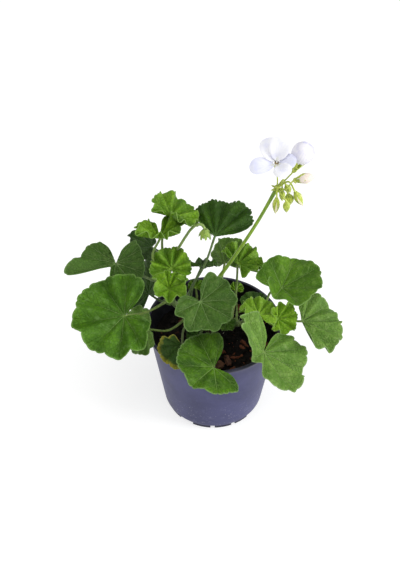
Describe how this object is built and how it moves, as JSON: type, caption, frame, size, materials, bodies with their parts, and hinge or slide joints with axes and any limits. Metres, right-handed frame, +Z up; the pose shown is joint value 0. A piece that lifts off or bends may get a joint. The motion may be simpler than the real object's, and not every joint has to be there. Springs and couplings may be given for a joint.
{
  "type": "potted pelargonium",
  "caption": "Bedding pelargonium with scalloped round leaves, a white flower head and buds, growing in soil in a round tapered nursery pot.",
  "frame": {"origin": "on the ground under the middle of the whole plant's box; the pot's axis stands at X +7.0 mm, Y +9.8 mm", "axes": "+Z up along the pot's axis; -Y is the plant's front, which the picture shows; +X is to the right in the picture"},
  "size_m": [0.2358, 0.1734, 0.2786],
  "materials": {
    "pot": "satin",
    "soil": "matte",
    "bark": "matte",
    "stem": "satin",
    "leaf": "satin",
    "young_leaf": "satin",
    "bud": "satin",
    "petal": "satin",
    "stamen": "satin"
  },
  "bodies": {
    "root": {"pot": "pot", "soil": "soil", "bark_chip_1": "bark", "bark_chip_2": "bark", "bark_chip_3": "bark", "bark_chip_4": "bark", "bark_chip_5": "bark", "main_stem": "stem", "leaf_left_large": "leaf", "leaf_left_upper": "leaf", "leaf_left_rear": "leaf", "leaf_left_shaded": "leaf", "leaf_left_low": "leaf", "leaf_front_yellowed": "leaf", "leaf_front": "leaf", "leaf_centre": "leaf", "leaf_right_front": "leaf", "leaf_right_far": "leaf", "leaf_right_upper": "leaf", "leaf_right_young_a": "young_leaf", "leaf_right_young_b": "young_leaf", "leaf_top_centre": "leaf", "leaf_top_left": "young_leaf", "leaf_mid_left": "young_leaf", "leaf_young_upper": "young_leaf", "leaf_young_lower": "young_leaf", "leaf_rear_young": "young_leaf", "leaf_rear": "leaf", "leaf_edge_on": "leaf", "leaf_tiny_rear": "young_leaf", "leaf_low_rear": "leaf", "leaf_low_centre": "leaf", "leaf_low_right": "leaf", "leaf_small_centre": "young_leaf", "flower_stalk": "stem", "open_flower_calyx": "bud", "open_flower_petal_1": "petal", "open_flower_petal_2": "petal", "open_flower_petal_3": "petal", "open_flower_petal_4": "petal", "open_flower_petal_5": "petal", "open_flower_stamens": "stamen", "half_open_calyx": "bud", "half_open_petal_1": "petal", "half_open_petal_2": "petal", "half_open_petal_3": "petal", "opening_bud_calyx": "bud", "opening_bud_petals": "petal", "green_bud_1": "bud", "green_bud_2": "bud", "green_bud_3": "bud", "green_bud_4": "bud", "green_bud_5": "bud", "green_bud_6": "bud", "young_flower_stalk": "stem", "young_bud_cluster": "bud"}
  },
  "joints": []
}
